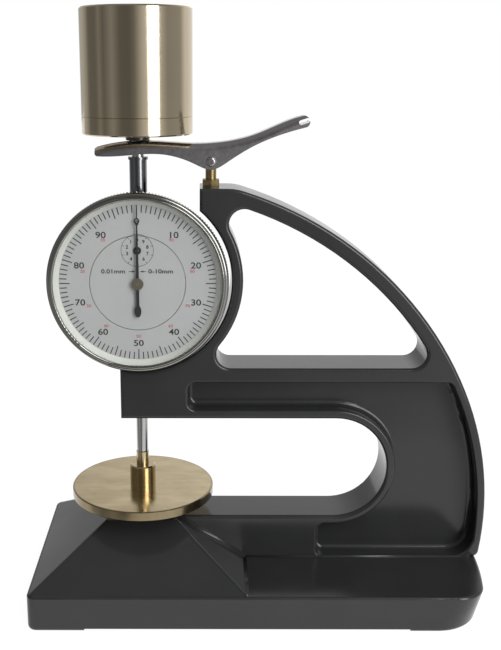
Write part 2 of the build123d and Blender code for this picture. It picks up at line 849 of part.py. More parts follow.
with BuildPart() as movement_screws:
    with BuildSketch(dial.offset(front_plate_depth + plate_thickness)):
        with PolarLocations(movement_screw_at, 3, start_angle=30):
            Circle(movement_head_radius)
    extrude(amount=0.5)
    with BuildSketch(dial.offset(front_plate_depth + plate_thickness)):
        with PolarLocations(movement_screw_at, 3, start_angle=30):
            Circle(screw_radius)
    extrude(amount=0.1 - plate_thickness - front_ledge)

with BuildPart() as plate_pillars:
    with BuildSketch(dial.offset(bridge_depth + plate_thickness)):
        with Locations(*pillar_places):
            Circle(pillar_radius)
    extrude(amount=front_plate_depth - bridge_depth - plate_thickness)
    with BuildSketch(dial.offset(bridge_depth + plate_thickness)):
        with Locations(*pillar_places):
            Circle(screw_radius)
    extrude(amount=2.5, mode=Mode.SUBTRACT)

with BuildPart() as bridge_plate:
    with BuildSketch(dial.offset(bridge_depth)):
        Circle(bridge_radius)
        Circle(arbor_radius + running_gap, mode=Mode.SUBTRACT)
        with Locations((0, takeup_v)):
            Circle(arbor_radius + running_gap, mode=Mode.SUBTRACT)
        with Locations((wheel_u, wheel_v)):
            Circle(1.2, mode=Mode.SUBTRACT)
        with Locations(*pillar_places):
            Circle(screw_radius, mode=Mode.SUBTRACT)
    extrude(amount=plate_thickness)

with BuildPart() as bridge_screws:
    with BuildSketch(dial.offset(bridge_depth)):
        with Locations(*pillar_places):
            Circle(cover_head_radius)
    extrude(amount=-0.8)
    with BuildSketch(dial.offset(bridge_depth)):
        with Locations(*pillar_places):
            Circle(screw_radius)
    extrude(amount=plate_thickness + 2.2)

# Gear train
wheel_at = Plane(origin=(axis_x + wheel_u, 0, dial_z + wheel_v), x_dir=(1, 0, 0), z_dir=(0, -1, 0))
takeup_at = Plane(origin=(axis_x, 0, dial_z + takeup_v), x_dir=(1, 0, 0), z_dir=(0, -1, 0))
cock_depth = -2.6
rack_pinion_length = 2.6
arbor_start = cock_depth - plate_thickness + 0.2
arbor_end = front_plate_depth + plate_thickness - 0.2
arbor_foot = bridge_depth + 0.1
collet_foot = bridge_depth + plate_thickness + 0.3
collet_radius = 1.0
with BuildPart() as rack_pinion:
    with BuildSketch(wheel_at.offset(-rack_pinion_length / 2)):
        with BuildLine():
            gear_outline(rack_pinion_teeth, rack_module, 0, 3)
        make_face()
    extrude(amount=rack_pinion_length)
    with BuildSketch(wheel_at.offset(arbor_start)):
        Circle(arbor_radius)
    extrude(amount=arbor_end - arbor_start)

with BuildPart() as transmission_wheel:
    with BuildSketch(wheel_at.offset(wheel_plane)):
        with BuildLine():
            gear_outline(wheel_teeth, wheel_module, wheel_turn, 2)
        make_face()
        Circle(arbor_radius, mode=Mode.SUBTRACT)
        with PolarLocations(5.4, 4):
            Circle(2.4, mode=Mode.SUBTRACT)
    extrude(amount=wheel_thickness)

with BuildPart() as centre_pinion:
    with BuildSketch(dial.offset(wheel_plane - 0.4)):
        with BuildLine():
            gear_outline(centre_pinion_teeth, wheel_module, centre_turn, 3)
        make_face()
    extrude(amount=wheel_thickness + 0.8)
    with BuildSketch(dial.offset(arbor_foot)):
        Circle(arbor_radius)
    extrude(amount=pointer_depth + pointer_sheet + 0.25 - arbor_foot)

with BuildPart() as take_up_wheel:
    with BuildSketch(takeup_at.offset(wheel_plane)):
        with BuildLine():
            gear_outline(wheel_teeth, wheel_module, takeup_turn, 2)
        make_face()
        with PolarLocations(5.4, 4):
            Circle(2.4, mode=Mode.SUBTRACT)
    extrude(amount=wheel_thickness)
    with BuildSketch(takeup_at.offset(arbor_foot)):
        Circle(arbor_radius)
    extrude(amount=counter_depth + 0.2 - arbor_foot)
    with BuildSketch(takeup_at.offset(collet_foot)):
        Circle(collet_radius)
    extrude(amount=wheel_plane - collet_foot)

# Hairspring: flat spiral of half circles that grows from the collet of the take-up wheel
spring_strip = 0.14
spring_height = 0.6
spring_half_turns = 8
spring_inner = collet_radius
spring_outer = 6.0
spring_step = (spring_outer - spring_inner) / spring_half_turns


def coil(shift):
    """Spiral line of half circles whose centres change sides, moved outwards by a shift."""
    for half_turn in range(spring_half_turns):
        upper = half_turn % 2 == 0
        centre = 0 if upper else spring_step
        radius = spring_inner + half_turn * spring_step + shift
        CenterArc((centre, 0), radius, 0 if upper else 180, 180)


with BuildPart() as hairspring:
    with BuildSketch(takeup_at.offset(4.5)):
        with BuildLine():
            coil(0)
            coil(spring_strip)
            Line((spring_inner, 0), (spring_inner + spring_strip, 0))
            Line((spring_outer, 0), (spring_outer + spring_strip, 0))
        make_face()
    extrude(amount=spring_height)

with BuildPart() as hairspring_stud:
    with BuildSketch(takeup_at.offset(bridge_depth + plate_thickness)):
        with Locations((spring_outer + spring_strip + 0.8, 0)):
            Circle(0.6)
    extrude(amount=1.5)

# Cock behind the spindle that carries the rear end of the rack pinion
cock_width = 4.0
cock_leg_at = -10.0
cock_leg = 2.0
with BuildPart() as pinion_cock:
    with BuildSketch(wheel_at.offset(cock_depth)):
        with Locations((cock_leg_at - wheel_u, 0)):
            Rectangle(wheel_u - cock_leg_at + 2, cock_width, align=(Align.MIN, Align.CENTER))
        Circle(arbor_radius + running_gap, mode=Mode.SUBTRACT)
    extrude(amount=-plate_thickness)
    with BuildSketch(wheel_at.offset(bridge_depth)):
        with Locations((cock_leg_at - wheel_u, 0)):
            Rectangle(cock_leg, cock_width, align=(Align.MIN, Align.CENTER))
    extrude(amount=-(bridge_depth - cock_depth))

# Grooved block that keeps the spindle from turning
guide_travel = 10.0
guide_margin = 2.5
guide_block_x = 5.2
guide_block_width = 3.6
with BuildPart() as guide_block:
    with BuildSketch(level(guide_pin_z - guide_margin)):
        with Locations((guide_block_x, -bridge_depth)):
            Rectangle(guide_block_width, 2 * bridge_depth - 0.6, align=(Align.MIN, Align.MIN))
        with Locations((guide_block_x, 0)):
            Rectangle(
                guide_block_width - 0.7,
                2 * (guide_pin_radius + 0.1),
                align=(Align.MIN, Align.CENTER),
                mode=Mode.SUBTRACT,
            )
    extrude(amount=guide_travel + 2 * guide_margin)

frame_body.part.label = "frame_casting"
export_step(frame_body.part, "parts/frame_casting.step")
anvil.part.label = "anvil"
export_step(anvil.part, "parts/anvil.step")
lever_post.part.label = "lever_post"
export_step(lever_post.part, "parts/lever_post.step")
post_lock_nut.part.label = "post_lock_nut"
export_step(post_lock_nut.part, "parts/post_lock_nut.step")
lever_pivot_pin.part.label = "lever_pivot_pin"
export_step(lever_pivot_pin.part, "parts/lever_pivot_pin.step")
lifting_lever.part.label = "lifting_lever"
export_step(lifting_lever.part, "parts/lifting_lever.step")
stem_clamp_screw.part.label = "stem_clamp_screw"
export_step(stem_clamp_screw.part, "parts/stem_clamp_screw.step")
presser_foot.part.label = "presser_foot"
export_step(presser_foot.part, "parts/presser_foot.step")
contact_rod.part.label = "contact_rod"
export_step(contact_rod.part, "parts/contact_rod.step")
spindle.part.label = "rack_spindle"
export_step(spindle.part, "parts/rack_spindle.step")
guide_pin.part.label = "guide_pin"
export_step(guide_pin.part, "parts/guide_pin.step")
lift_collar.part.label = "lift_collar"
export_step(lift_collar.part, "parts/lift_collar.step")
lower_weight.part.label = "lower_weight"
export_step(lower_weight.part, "parts/lower_weight.step")
upper_weight.part.label = "upper_weight"
export_step(upper_weight.part, "parts/upper_weight.step")
indicator_case.part.label = "indicator_case"
export_step(indicator_case.part, "parts/indicator_case.step")
indicator_stem.part.label = "indicator_stem"
export_step(indicator_stem.part, "parts/indicator_stem.step")
guide_tube.part.label = "guide_tube"
export_step(guide_tube.part, "parts/guide_tube.step")
back_cover.part.label = "back_cover"
export_step(back_cover.part, "parts/back_cover.step")
back_cover_screws.part.label = "back_cover_screws"
export_step(back_cover_screws.part, "parts/back_cover_screws.step")
bezel.part.label = "bezel"
export_step(bezel.part, "parts/bezel.step")
crystal.part.label = "crystal"
export_step(crystal.part, "parts/crystal.step")
scale_rim.part.label = "scale_rim"
export_step(scale_rim.part, "parts/scale_rim.step")
scale_ring.part.label = "scale_ring"
export_step(scale_ring.part, "parts/scale_ring.step")
centre_plate.part.label = "centre_plate"
export_step(centre_plate.part, "parts/centre_plate.step")
pointer_hand.part.label = "pointer_hand"
export_step(pointer_hand.part, "parts/pointer_hand.step")
pointer_cap.part.label = "pointer_cap"
export_step(pointer_cap.part, "parts/pointer_cap.step")
counter_hand.part.label = "counter_hand"
export_step(counter_hand.part, "parts/counter_hand.step")
front_plate.part.label = "front_plate"
export_step(front_plate.part, "parts/front_plate.step")
movement_screws.part.label = "movement_screws"
export_step(movement_screws.part, "parts/movement_screws.step")
plate_pillars.part.label = "plate_pillars"
export_step(plate_pillars.part, "parts/plate_pillars.step")
bridge_plate.part.label = "bridge_plate"
export_step(bridge_plate.part, "parts/bridge_plate.step")
bridge_screws.part.label = "bridge_screws"
export_step(bridge_screws.part, "parts/bridge_screws.step")
rack_pinion.part.label = "rack_pinion"
export_step(rack_pinion.part, "parts/rack_pinion.step")
transmission_wheel.part.label = "transmission_wheel"
export_step(transmission_wheel.part, "parts/transmission_wheel.step")
centre_pinion.part.label = "centre_pinion"
export_step(centre_pinion.part, "parts/centre_pinion.step")
take_up_wheel.part.label = "take_up_wheel"
export_step(take_up_wheel.part, "parts/take_up_wheel.step")
hairspring.part.label = "hairspring"
export_step(hairspring.part, "parts/hairspring.step")
hairspring_stud.part.label = "hairspring_stud"
export_step(hairspring_stud.part, "parts/hairspring_stud.step")
pinion_cock.part.label = "pinion_cock"
export_step(pinion_cock.part, "parts/pinion_cock.step")
guide_block.part.label = "guide_block"
export_step(guide_block.part, "parts/guide_block.step")
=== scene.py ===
import json
from math import cos, pi, radians, sin

import bmesh
import bpy
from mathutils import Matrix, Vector


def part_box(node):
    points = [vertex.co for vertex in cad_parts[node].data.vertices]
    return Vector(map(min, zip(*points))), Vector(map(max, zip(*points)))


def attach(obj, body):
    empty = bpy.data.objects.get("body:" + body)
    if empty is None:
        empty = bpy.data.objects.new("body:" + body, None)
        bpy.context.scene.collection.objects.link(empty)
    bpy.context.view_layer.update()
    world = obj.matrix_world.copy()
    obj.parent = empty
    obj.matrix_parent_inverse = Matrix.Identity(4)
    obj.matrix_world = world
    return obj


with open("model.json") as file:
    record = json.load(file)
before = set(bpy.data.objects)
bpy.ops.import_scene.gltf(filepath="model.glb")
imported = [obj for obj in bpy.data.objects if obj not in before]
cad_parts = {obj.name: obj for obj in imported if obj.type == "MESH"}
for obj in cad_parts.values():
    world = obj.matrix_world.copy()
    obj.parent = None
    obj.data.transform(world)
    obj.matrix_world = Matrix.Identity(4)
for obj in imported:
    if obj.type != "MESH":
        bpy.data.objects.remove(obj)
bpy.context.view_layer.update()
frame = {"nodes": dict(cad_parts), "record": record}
nodes = frame["nodes"]
MM = 0.001

# Places taken from the frame
bezel_low, bezel_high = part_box("bezel")
ring_low, ring_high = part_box("scale_ring")
foot_low, foot_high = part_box("presser_foot")
DIAL_X = (bezel_low[0] + bezel_high[0]) / 2
DIAL_Z = (bezel_low[2] + bezel_high[2]) / 2
FACE_Y = ring_low[1]
AXIS_X = (foot_low[0] + foot_high[0]) / 2
FOOT_RADIUS = (foot_high[0] - foot_low[0]) / 2


# Camera, at the photograph's standing point; its optical axis is left of the picture's middle
CAMERA_PLACE = (-19.54 * MM, -322.25 * MM, 180.64 * MM)
CAMERA_PITCH = 14.756
CAMERA_YAW = 0.187
FOCAL_PIXELS = 969.8
IMAGE_HEIGHT = 650
IMAGE_WIDTH = 501
OPTICAL_AXIS_COLUMN = 200
SENSOR_WIDTH = 36
NEAREST = 10 * MM
camera_data = bpy.data.cameras.new("camera")
camera_data.sensor_fit = "AUTO"
camera_data.sensor_width = SENSOR_WIDTH
camera_data.lens = FOCAL_PIXELS / IMAGE_HEIGHT * SENSOR_WIDTH
camera_data.shift_x = (IMAGE_WIDTH / 2 - OPTICAL_AXIS_COLUMN) / IMAGE_HEIGHT
camera_data.clip_start = NEAREST
camera = bpy.data.objects.new("camera", camera_data)
camera.location = CAMERA_PLACE
camera.rotation_euler = (radians(90 - CAMERA_PITCH), 0, radians(CAMERA_YAW))
bpy.context.scene.collection.objects.link(camera)
bpy.context.scene.camera = camera
bpy.context.scene.view_settings.view_transform = "Standard"


class Nodes:
    """Short way to build a node tree."""

    def __init__(self, tree):
        self.tree = tree
        tree.nodes.clear()

    def add(self, kind, inputs=None, **settings):
        """Node with its settings made and each input set to a value or linked to a socket."""
        node = self.tree.nodes.new(kind)
        for name, value in settings.items():
            setattr(node, name, value)
        for socket, value in (inputs or {}).items():
            if isinstance(value, bpy.types.NodeSocket):
                self.tree.links.new(value, node.inputs[socket])
            else:
                node.inputs[socket].default_value = value
        return node

    def math(self, operation, first, second):
        return self.add("ShaderNodeMath", {0: first, 1: second}, operation=operation).outputs[0]

    def vector_math(self, operation, first, second):
        return self.add("ShaderNodeVectorMath", {0: first, 1: second}, operation=operation).outputs[0]

    def scaled(self, vector, factor):
        return self.add("ShaderNodeVectorMath", {0: vector, "Scale": factor}, operation="SCALE").outputs[0]

    def spread(self, value, low, high, at_low, at_high):
        """Value carried from the range low to high to another range, and held at its ends."""
        ends = {1: low, 2: high, 3: at_low, 4: at_high}
        return self.add("ShaderNodeMapRange", {0: value, **ends}).outputs[0]

    def blend(self, factor, first, second):
        """Colour between two others."""
        return self.add("ShaderNodeMix", {0: factor, 6: first, 7: second}, data_type="RGBA").outputs[2]

    def mix_shaders(self, share, first, second):
        shaders = {1: first.outputs[0], 2: second.outputs[0]}
        return self.add("ShaderNodeMixShader", {0: share, **shaders})

    def ramp(self, factor, stops):
        """Grey ramp through the given places and tones."""
        node = self.add("ShaderNodeValToRGB", {0: factor})
        elements = node.color_ramp.elements
        while len(elements) < len(stops):
            elements.new(0.5)
        for element, (place, tone) in zip(elements, stops):
            element.position = place
            element.color = (tone, tone, tone, 1)
        return node.outputs[0]


def new_material(name):
    material = bpy.data.materials.new(name)
    material.use_nodes = True
    return material, Nodes(material.node_tree)


# World: a plain room round the object. Places go once round the horizon: 0 and 1 are behind
# the object, 0.25 is to its left, 0.5 is on the camera's side and 0.75 is to its right.
ROOM_BY_AZIMUTH = [
    (0.00, 1.00),
    (0.06, 0.48),
    (0.13, 0.52),
    (0.17, 0.38),
    (0.20, 0.17),
    (0.26, 0.16),
    (0.285, 0.27),
    (0.315, 0.15),
    (0.37, 0.30),
    (0.42, 0.14),
    (0.47, 0.13),
    (0.50, 0.19),
    (0.55, 0.60),
    (0.64, 0.60),
    (0.69, 0.33),
    (0.79, 0.38),
    (0.83, 0.80),
    (0.90, 0.90),
    (1.00, 1.00),
]
# The walls turn into the ceiling and into the table between these heights of a unit direction
CEILING_TONE = 0.25
CEILING_STARTS = 0.35
CEILING_FULL = 0.85
TABLE_SHARE = 1.5
TABLE_STARTS = -0.06
TABLE_FULL = -0.20
WHITE = (1, 1, 1, 1)
world = bpy.data.worlds.new("studio")
bpy.context.scene.world = world
world.use_nodes = True
w = Nodes(world.node_tree)
direction = w.add("ShaderNodeTexCoord").outputs["Generated"]
parts = w.add("ShaderNodeSeparateXYZ", {0: direction}).outputs
ahead = w.math("MULTIPLY", parts["Y"], -1.0)
azimuth = w.math("ARCTAN2", parts["X"], ahead)
turn = w.spread(azimuth, -pi, pi, 0.0, 1.0)
walls = w.ramp(turn, ROOM_BY_AZIMUTH)
table_gain = w.spread(parts["Z"], TABLE_FULL, TABLE_STARTS, TABLE_SHARE, 1.0)
walls = w.scaled(walls, table_gain)
ceiling_share = w.spread(parts["Z"], CEILING_STARTS, CEILING_FULL, 0.0, 1.0)
room = w.blend(ceiling_share, walls, (CEILING_TONE, CEILING_TONE, CEILING_TONE, 1))
to_camera = w.add("ShaderNodeLightPath").outputs["Is Camera Ray"]
background = w.add("ShaderNodeBackground", {0: w.blend(to_camera, room, WHITE), 1: 1.0})
w.add("ShaderNodeOutputWorld", {0: background.outputs[0]})


# Lamps: a tall window to the right of the camera and a soft fill above it
LAMP_AIM = (0, 0, 0.1)
WINDOW_AZIMUTH = 37.5
WINDOW_DISTANCE = 2.4
WINDOW_HEIGHT = 1.1
WINDOW_SIZE = (1.1, 3.0)
WINDOW_RADIANCE = 5.2
FILL_AZIMUTH = 42
FILL_ELEVATION = 50
FILL_DISTANCE = 2.0
FILL_SIZE = (2.4, 2.4)
FILL_RADIANCE = 1.08


def area_light(name, azimuth, distance, height, size, radiance):
    """Soft rectangular lamp; azimuth in degrees to the right of the camera's side."""
    data = bpy.data.lights.new(name, "AREA")
    data.shape = "RECTANGLE"
    data.size, data.size_y = size
    data.energy = radiance * pi * size[0] * size[1]
    lamp = bpy.data.objects.new(name, data)
    lamp.location = (distance * sin(radians(azimuth)), -distance * cos(radians(azimuth)), height)
    aim = Vector(LAMP_AIM) - lamp.location
    lamp.rotation_euler = aim.to_track_quat("-Z", "Y").to_euler()
    bpy.context.scene.collection.objects.link(lamp)
    return lamp


area_light("window", WINDOW_AZIMUTH, WINDOW_DISTANCE, WINDOW_HEIGHT, WINDOW_SIZE, WINDOW_RADIANCE)
fill_reach = FILL_DISTANCE * cos(radians(FILL_ELEVATION))
fill_height = FILL_DISTANCE * sin(radians(FILL_ELEVATION))
fill = area_light("fill", FILL_AZIMUTH, fill_reach, fill_height, FILL_SIZE, FILL_RADIANCE)
fill.visible_glossy = False

# Floor: a white sheet, cut off in front and at the left, that keeps a faint shadow
FLOOR_OUTLINE = [
    (-0.035, -0.15),
    (0.10, -0.15),
    (0.18, 0.0),
    (0.5, 0.6),
    (3.0, 3.0),
    (-3.0, 3.0),
    (-0.5, 0.6),
    (-0.16, 0.0),
    (-0.095, -0.05),
]
FLOOR_FACES = [(0, 1, 2, 7, 8), (7, 2, 3, 6), (6, 3, 4, 5)]
FLOOR_GREY = 0.85
FLOOR_GLOW = 1.12
FLOOR_GLOW_SHARE = 0.85
floor_mesh = bpy.data.meshes.new("floor")
floor_mesh.from_pydata([(x, y, 0) for x, y in FLOOR_OUTLINE], [], FLOOR_FACES)
floor = bpy.data.objects.new("floor", floor_mesh)
bpy.context.scene.collection.objects.link(floor)
floor_material, n = new_material("floor_white")
floor_diffuse = n.add("ShaderNodeBsdfDiffuse", {0: (FLOOR_GREY, FLOOR_GREY, FLOOR_GREY, 1)})
floor_glow = n.add("ShaderNodeEmission", {0: WHITE, 1: FLOOR_GLOW})
path = n.add("ShaderNodeLightPath").outputs
seen = n.math("MAXIMUM", path["Is Camera Ray"], path["Is Glossy Ray"])
seen = n.math("MAXIMUM", seen, path["Is Transmission Ray"])
floor_surface = n.mix_shaders(n.math("MULTIPLY", seen, FLOOR_GLOW_SHARE), floor_diffuse, floor_glow)
n.add("ShaderNodeOutputMaterial", {0: floor_surface.outputs[0]})
floor.data.materials.append(floor_material)


# Materials. Noise scales are in repeats per metre and bump depths in metres.
NOISE_LOW = 0.3
NOISE_HIGH = 0.7


def object_point(n, stretch=(1, 1, 1)):
    """Point on the object in metres, the same in every view."""
    coordinates = n.add("ShaderNodeTexCoord").outputs["Object"]
    return n.add("ShaderNodeMapping", {0: coordinates, 3: stretch}).outputs[0]


def noise(n, point, scale, detail, roughness=0.5):
    sockets = {"Vector": point, "Scale": scale, "Detail": detail, "Roughness": roughness}
    return n.add("ShaderNodeTexNoise", sockets).outputs[0]


def varied(n, texture, low, high):
    """Number that follows a texture between two values."""
    return n.spread(texture, NOISE_LOW, NOISE_HIGH, low, high)


def shade(colour, share):
    return tuple(c * share for c in colour) + (1,)


def bumped(n, height, depth, strength):
    return n.add("ShaderNodeBump", {"Strength": strength, "Distance": depth, "Height": height}).outputs[0]


def principled(n, colour, roughness, normal, **others):
    """Principled surface as the material's output; other sockets are given by name."""
    sockets = {"Base Color": colour, "Roughness": roughness, "Normal": normal}
    shader = n.add("ShaderNodeBsdfPrincipled", {**sockets, **others})
    n.add("ShaderNodeOutputMaterial", {0: shader.outputs[0]})


def paint_material(name, colour):
    """Thick gloss paint over a casting, a little uneven."""
    material, n = new_material(name)
    point = object_point(n)
    broad = noise(n, point, scale=35, detail=3)
    fine = noise(n, point, scale=900, detail=2)
    tone = n.blend(broad, shade(colour, 0.75), shade(colour, 1.3))
    waves = bumped(n, broad, depth=0.35 * MM, strength=0.35)
    grain = {"Strength": 0.25, "Distance": 0.02 * MM, "Height": fine, "Normal": waves}
    skin = n.add("ShaderNodeBump", grain).outputs[0]
    principled(n, tone, varied(n, broad, 0.13, 0.22), skin, IOR=1.47)
    return material


def metal_material(name, colour, low, high, grain, grain_scale, grain_depth, dark):
    """Machined or plated metal: tone and gloss vary, and a stretched grain roughens it."""
    material, n = new_material(name)
    lines = noise(n, object_point(n, grain), grain_scale, detail=5, roughness=0.6)
    clouds = noise(n, object_point(n), scale=60, detail=3)
    tone = n.blend(clouds, shade(colour, dark), shade(colour, 1))
    normal = bumped(n, lines, grain_depth, strength=0.5)
    principled(n, tone, varied(n, lines, low, high), normal, Metallic=1.0)
    return material


def foot_material(name, colour, rim_radius, rim_shade_share):
    """Polished, lightly stained brass whose turned rim is painted darker than the rest, as painted shade
    for the rim's dim reflection.
    """
    material, n = new_material(name)
    point = n.add("ShaderNodeTexCoord").outputs["Object"]
    from_axis = n.vector_math("SUBTRACT", point, (AXIS_X, 0, 0))
    flat = n.vector_math("MULTIPLY", from_axis, (1, 1, 0))
    radius = n.add("ShaderNodeVectorMath", {0: flat}, operation="LENGTH").outputs["Value"]
    # Painted shade: the colour is scaled down over the outer rim to stand in for its darker reflection
    painted_rim_shade = n.spread(radius, rim_radius - 0.8 * MM, rim_radius - 0.3 * MM, 1.0, rim_shade_share)
    lines = noise(n, object_point(n, ROUND_TURNED), scale=260, detail=4, roughness=0.6)
    clouds = noise(n, object_point(n, (1, 2.5, 1)), scale=45, detail=5, roughness=0.65)
    stain = (colour[0] * 0.72, colour[1] * 0.66, colour[2] * 0.58, 1)
    tone = n.scaled(n.blend(varied(n, clouds, 0.0, 1.0), stain, shade(colour, 1)), painted_rim_shade)
    normal = bumped(n, lines, depth=0.001 * MM, strength=0.5)
    principled(n, tone, varied(n, lines, 0.12, 0.24), normal, Metallic=1.0)
    return material


def enamel_material(name, colour, roughness):
    """Matt printed enamel with a barely visible mottling."""
    material, n = new_material(name)
    clouds = noise(n, object_point(n), scale=120, detail=4)
    grit = noise(n, object_point(n), scale=2500, detail=2)
    tone = n.blend(clouds, shade(colour, 0.94), shade(colour, 1))
    normal = bumped(n, grit, depth=0.01 * MM, strength=0.3)
    principled(n, tone, varied(n, clouds, roughness, roughness + 0.1), normal)
    return material


def glass_material(name):
    """Clear flat crystal: lets everything through and adds a soft gloss on its outer side."""
    material, n = new_material(name)
    clear = n.add("ShaderNodeBsdfTransparent", {0: (0.97, 0.98, 0.98, 1)})
    smear = noise(n, object_point(n), scale=40, detail=3)
    gloss = n.add("ShaderNodeBsdfGlossy", {"Roughness": varied(n, smear, 0.02, 0.06)})
    fresnel = n.add("ShaderNodeFresnel", {"IOR": 1.45}).outputs[0]
    inside = n.add("ShaderNodeNewGeometry").outputs["Backfacing"]
    share = n.math("MULTIPLY", fresnel, n.math("SUBTRACT", 1.0, inside))
    surface = n.mix_shaders(share, clear, gloss)
    n.add("ShaderNodeOutputMaterial", {0: surface.outputs[0]})
    return material


ROUND_TURNED = (1, 1, 40)
ALONG_Z = (40, 40, 1)
EVEN = (1, 1, 1)
# Share of the foot's colour kept at its rim: painted shade for the rim's darker reflection
FOOT_RIM_PAINTED_SHADE = 0.55
# Colour, least and greatest roughness, grain stretch, grain scale, grain depth, darkest share
METALS = {
    "hardened_steel": ((0.5, 0.5, 0.52), 0.18, 0.3, EVEN, 300, 2e-6, 0.8),
    "aged_brass": ((0.36, 0.27, 0.13), 0.25, 0.4, EVEN, 400, 4e-6, 0.6),
    "turned_brass": ((0.62, 0.53, 0.38), 0.10, 0.15, ROUND_TURNED, 160, 1e-6, 0.92),
    "lever_chrome": ((0.56, 0.535, 0.54), 0.1, 0.24, EVEN, 420, 8e-5, 0.6),
    "spindle_steel": ((0.52, 0.52, 0.51), 0.1, 0.2, ROUND_TURNED, 200, 2e-6, 0.8),
    "tube_chrome": ((0.195, 0.2, 0.204), 0.12, 0.2, ALONG_Z, 60, 1e-6, 0.8),
    "case_metal": ((0.45, 0.45, 0.43), 0.25, 0.4, EVEN, 300, 3e-6, 0.8),
    "bezel_chrome": ((0.34, 0.336, 0.315), 0.06, 0.14, EVEN, 200, 2e-6, 0.8),
    "cap_brass": ((0.42, 0.36, 0.27), 0.25, 0.35, EVEN, 500, 2e-6, 0.8),
    "movement_brass": ((0.6, 0.47, 0.22), 0.25, 0.4, EVEN, 300, 3e-6, 0.8),
    "movement_steel": ((0.5, 0.5, 0.52), 0.2, 0.3, EVEN, 300, 2e-6, 0.8),
}
PAINTS = {
    "frame_paint": (0.0235, 0.0238, 0.0245),
    "black_collar": (0.035, 0.034, 0.03),
}
# Colour and least roughness
ENAMELS = {
    "dial_white": ((0.49, 0.478, 0.475), 0.5),
    "rim_enamel": ((0.66, 0.655, 0.605), 0.35),
    "hand_black": ((0.02, 0.02, 0.022), 0.4),
    "print_black": ((0.03, 0.03, 0.032), 0.5),
    "print_red": ((0.52, 0.13, 0.14), 0.5),
}
materials = {
    "polished_brass": foot_material("polished_brass", (0.58, 0.49, 0.31), FOOT_RADIUS, FOOT_RIM_PAINTED_SHADE),
    "crystal_glass": glass_material("crystal_glass"),
}
for name, values in METALS.items():
    materials[name] = metal_material(name, *values)
for name, colour in PAINTS.items():
    materials[name] = paint_material(name, colour)
for name, values in ENAMELS.items():
    materials[name] = enamel_material(name, *values)
for entry in frame["record"]["subparts"]:
    holder = nodes[entry["node"]]
    holder.data.materials.clear()
    holder.data.materials.append(materials[entry["material_slot"]])


def add_piece(name, mesh, material, body):
    """Piece of the scene that rides on one body of the frame."""
    piece = bpy.data.objects.new(name, mesh)
    bpy.context.scene.collection.objects.link(piece)
    mesh.materials.clear()
    mesh.materials.append(materials[material])
    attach(piece, body)
    return piece


# Cast fillets of the stand, where pedestal, base and frame meet
BASE_TOP = 12.8 * MM
THROAT_FLOOR = 28.5 * MM
FRAME_FACE = 9.0 * MM
PEDESTAL_FOOT = 36.2 * MM
PEDESTAL_TOP = 12.3 * MM
FRAME_HEEL_X = 72.0 * MM
LEDGE_FILLET = 1.3 * MM
PEDESTAL_FILLET = 2.5 * MM
FRAME_FILLET = 0.6 * MM
FILLET_STEPS = 8
FILLET_SINK = 0.1 * MM


def fillet_strip(bm, start, end, first, second, radius):
    """Concave fillet along a straight inner corner between two faces with these normals."""
    first, second = Vector(first).normalized(), Vector(second).normalized()
    reach = (first + second) * (radius / (1 + first.dot(second)))
    rows = []
    for place in (Vector(start), Vector(end)):
        centre = place + reach
        row = []
        for i in range(FILLET_STEPS + 1):
            toward = first.slerp(second, i / FILLET_STEPS)
            row.append(bm.verts.new(centre - toward * radius))
        row.append(bm.verts.new(place - (first + second) * FILLET_SINK))
        rows.append(row)
    count = len(rows[0])
    for i in range(count):
        j = (i + 1) % count
        bm.faces.new((rows[0][i], rows[0][j], rows[1][j], rows[1][i]))
    bm.faces.new(rows[0])
    bm.faces.new(list(reversed(rows[1])))


foot_x = AXIS_X + PEDESTAL_FOOT
upward = (0, 0, 1)
slope = (THROAT_FLOOR - BASE_TOP, 0, PEDESTAL_FOOT - PEDESTAL_TOP)
bm = bmesh.new()
for side in (-1, 1):
    outward = (0, side, 0)
    face_y = side * FRAME_FACE
    corner = (foot_x, face_y, BASE_TOP)
    ledge_top = (AXIS_X + PEDESTAL_TOP, face_y, THROAT_FLOOR)
    pedestal_corner = (foot_x, side * PEDESTAL_FOOT, BASE_TOP)
    frame_heel = (FRAME_HEEL_X, face_y, BASE_TOP)
    fillet_strip(bm, corner, ledge_top, slope, outward, LEDGE_FILLET)
    fillet_strip(bm, corner, pedestal_corner, slope, upward, PEDESTAL_FILLET)
    fillet_strip(bm, corner, frame_heel, outward, upward, FRAME_FILLET)
bmesh.ops.recalc_face_normals(bm, faces=bm.faces[:])
fillet_mesh = bpy.data.meshes.new("stand_fillets")
bm.to_mesh(fillet_mesh)
bm.free()
for polygon in fillet_mesh.polygons:
    polygon.use_smooth = len(polygon.vertices) == 4
add_piece("stand_fillets", fillet_mesh, "frame_paint", "stand")


# Print on the dial: thin flat shapes a hair above the face, in millimetres about its centre
PRINT_LIFT = 0.02 * MM
PRINT_THICK = 0.015 * MM


def face_point(u, v):
    """Point of the print, with u to the right and v up in millimetres."""
    return (DIAL_X + u * MM, FACE_Y - PRINT_LIFT, DIAL_Z + v * MM)


def on_circle(angle, radius, centre=(0, 0)):
    """Place on a circle, with the angle clockwise from the top in degrees."""
    a = radians(angle)
    return (centre[0] + radius * sin(a), centre[1] + radius * cos(a))


